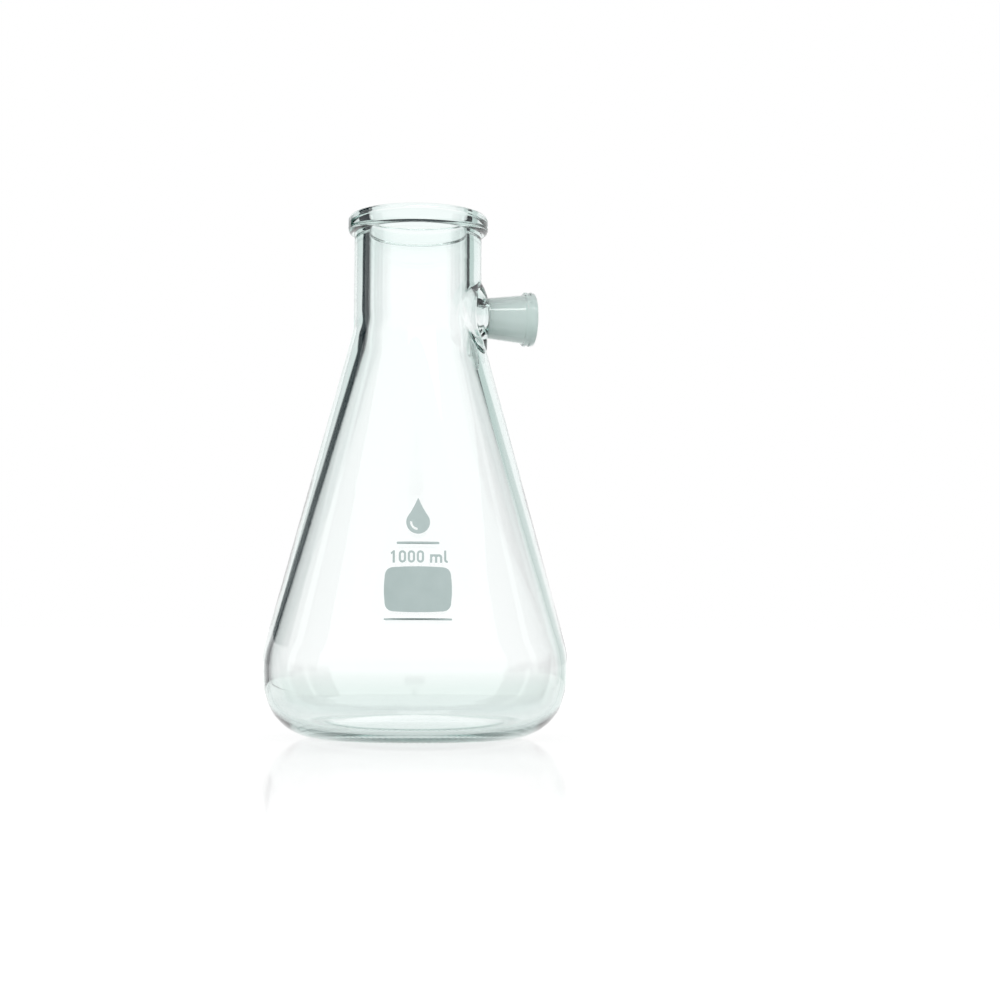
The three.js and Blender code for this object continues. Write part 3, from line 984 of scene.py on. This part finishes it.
# Ramps over the light panel: the range they cover, and their stops as (place, colour).
PANEL_FALL = (0.0, 0.6, [
    (0.165, (1.06, 1.06, 1.06)), (0.235, (0.96, 0.99, 0.985)), (0.30, (0.93, 0.97, 0.96)),
])
PANEL_LEFT = (-0.5, -0.1, [(-0.306, DARK), (-0.246, WHITE)])
PANEL_STRIP = (0.0, 0.3, [(0.125, WHITE), (0.175, (0.58, 0.655, 0.635))])
PANEL_RIGHT = (0.3, 0.9, [(0.44, WHITE), (0.48, DARK)])
PANEL_CROWN = (0.2, 0.4, [(0.285, WHITE), (0.32, (0.90, 0.945, 0.935))])
PANEL_TOP = (0.3, 0.8, [(0.52, WHITE), (0.54, DARK)])
PANEL_BASE = (0.0, 0.2, [(0.0, (0.78, 0.86, 0.83)), (0.04, WHITE)])

# Ramps over the floor as the glass shows it: by distance from the flask (a tint, with painted shade under
# the flask), leftwards, and backwards (painted shade far to the left and far behind).
# painted shade: the floor's glow is darkest within 0.045 m of the flask's axis and lightens outwards
FLOOR_TINT_AND_SHADE = (0.0, 1.0, [
    (0.045, (0.74, 0.82, 0.80)), (0.075, (0.76, 0.84, 0.82)), (0.45, (0.78, 0.86, 0.83)),
])
FLOOR_LEFT = (0.0, 1.0, [(0.41, WHITE), (0.46, DARK)])
FLOOR_BACK = (0.0, 1.0, [(0.50, WHITE), (0.62, DARK)])


def glow_surface(nodes, links, colour):
    """Makes a material give off a colour, and nothing else."""
    glow = nodes.new("ShaderNodeEmission")
    links.new(colour, glow.inputs["Color"])
    links.new(glow.outputs["Emission"], nodes["Material Output"].inputs["Surface"])


def table_light():
    """The floor as it is seen through the glass: tinted, with painted shade making it a little darker
    under the flask.
    """
    material, nodes, links, shader = new_material("table_light")
    nodes.remove(shader)
    _, reach = own_place(nodes, links)
    glow_surface(nodes, links, ramp_node(nodes, links, reach, *FLOOR_TINT_AND_SHADE))
    return material


def shaded_table_light():
    """The same floor, dark far behind the flask and far to its left."""
    material, nodes, links, shader = new_material("shaded_table")
    nodes.remove(shader)
    place, reach = own_place(nodes, links)
    tint = ramp_node(nodes, links, reach, *FLOOR_TINT_AND_SHADE)
    split = nodes.new("ShaderNodeSeparateXYZ")
    links.new(place, split.inputs["Vector"])
    left = math_node(nodes, links, "MULTIPLY", split.outputs["X"], -1.0)
    left = math_node(nodes, links, "MULTIPLY_ADD", split.outputs["Y"], 0.6, left)
    edge = ramp_node(nodes, links, left, *FLOOR_LEFT)
    back = ramp_node(nodes, links, split.outputs["Y"], *FLOOR_BACK)
    glow_surface(nodes, links, multiply_colours(nodes, links, tint, edge, back))
    return material


def panel_material():
    """The light panel: white in the middle, falling off to the sides, dark beyond its edges."""
    material, nodes, links, shader = new_material("light_panel")
    nodes.remove(shader)
    place, _ = own_place(nodes, links)
    split = nodes.new("ShaderNodeSeparateXYZ")
    links.new(place, split.inputs["Vector"])
    x = split.outputs["X"]
    height = math_node(nodes, links, "SUBTRACT", split.outputs["Y"], PANEL_FOOT)
    aside = math_node(nodes, links, "SUBTRACT", x, FLASK_X)
    aside = math_node(nodes, links, "ABSOLUTE", aside)
    spread = math_node(nodes, links, "MULTIPLY_ADD", height, 0.35, aside)
    left = math_node(nodes, links, "MULTIPLY_ADD", height, 0.354, x)
    right = math_node(nodes, links, "MULTIPLY_ADD", height, -0.25, x)
    ramps = [ramp_node(nodes, links, value, *stops) for value, stops in (
        (spread, PANEL_FALL), (left, PANEL_LEFT), (right, PANEL_STRIP), (x, PANEL_RIGHT),
        (height, PANEL_CROWN), (height, PANEL_TOP), (height, PANEL_BASE),
    )]
    glow_surface(nodes, links, multiply_colours(nodes, links, *ramps))
    return material


def show_only(made, seen_by):
    """Hides a card from every ray but those that go through glass, or only reflect."""
    made.visible_camera = False
    made.visible_diffuse = False
    made.visible_shadow = False
    made.visible_glossy = seen_by == "reflection"
    made.visible_transmission = seen_by == "glass"


def follow_camera(made):
    """Parents a card to the camera where it stands."""
    bpy.context.view_layer.update()
    made.parent = camera
    made.matrix_parent_inverse = camera.matrix_world.inverted()


def square_card(name, reach, depth, material, parent=None):
    """A square card that reaches as far on every side of its middle."""
    return card(name, (-reach, -reach), (reach, reach), depth, material, parent)


def cards_behind_glass():
    """The surrounding as the glass shows it."""
    panel = card("light_panel", (-1.4, PANEL_FOOT - 0.1), (1.4, 1.6), -PANEL_DEPTH,
                 panel_material(), camera)
    room_light = even_light("room_light", (0.93, 0.96, 0.95), 1.0)
    room = square_card("room", ROOM_REACH, -2 * PANEL_DEPTH, room_light, camera)
    front_light = even_light("front_light", (0.91, 0.96, 0.95), 1.4)
    front = square_card("front_light", ROOM_REACH, 1.0, front_light, camera)
    table = square_card("floor_through_glass", 3, -0.0002, table_light())
    shade = card("shaded_floor", (-3, 0.05), (3, 3), -0.0001, shaded_table_light())
    shade.rotation_euler.z = -ARM_TURN  # its X runs to the right as the camera sees it
    follow_camera(shade)
    overhead = card("overhead_light", (-1.5, -1.0), (1.5, -0.1), 1.0,
                    even_light("overhead_light", (0.92, 0.96, 0.95), 1.6))
    return panel, room, front, table, shade, overhead


def cards_in_reflections():
    """A strip that draws the highlight on the socket, and a flag that keeps the left edge dark."""
    strip = card("strip_light", (-0.2, 0.62), (0.45, 0.88), -0.2,
                 even_light("strip_light", WHITE, 9.0), camera)
    flag = card("left_flag", (0.17, 0.165), (0.74, 1.2), -0.6, even_light("left_flag", DARK, 1.0))
    flag.rotation_euler = (math.pi / 2, 0, math.pi / 2 - ARM_TURN)  # upright, along the sight line
    follow_camera(flag)
    return strip, flag


for made in cards_behind_glass():
    show_only(made, "glass")
for made in cards_in_reflections():
    show_only(made, "reflection")

cycles = bpy.context.scene.cycles
cycles.max_bounces = 32
cycles.diffuse_bounces = 16
cycles.transmission_bounces = 32
cycles.glossy_bounces = 16
cycles.transparent_max_bounces = 32
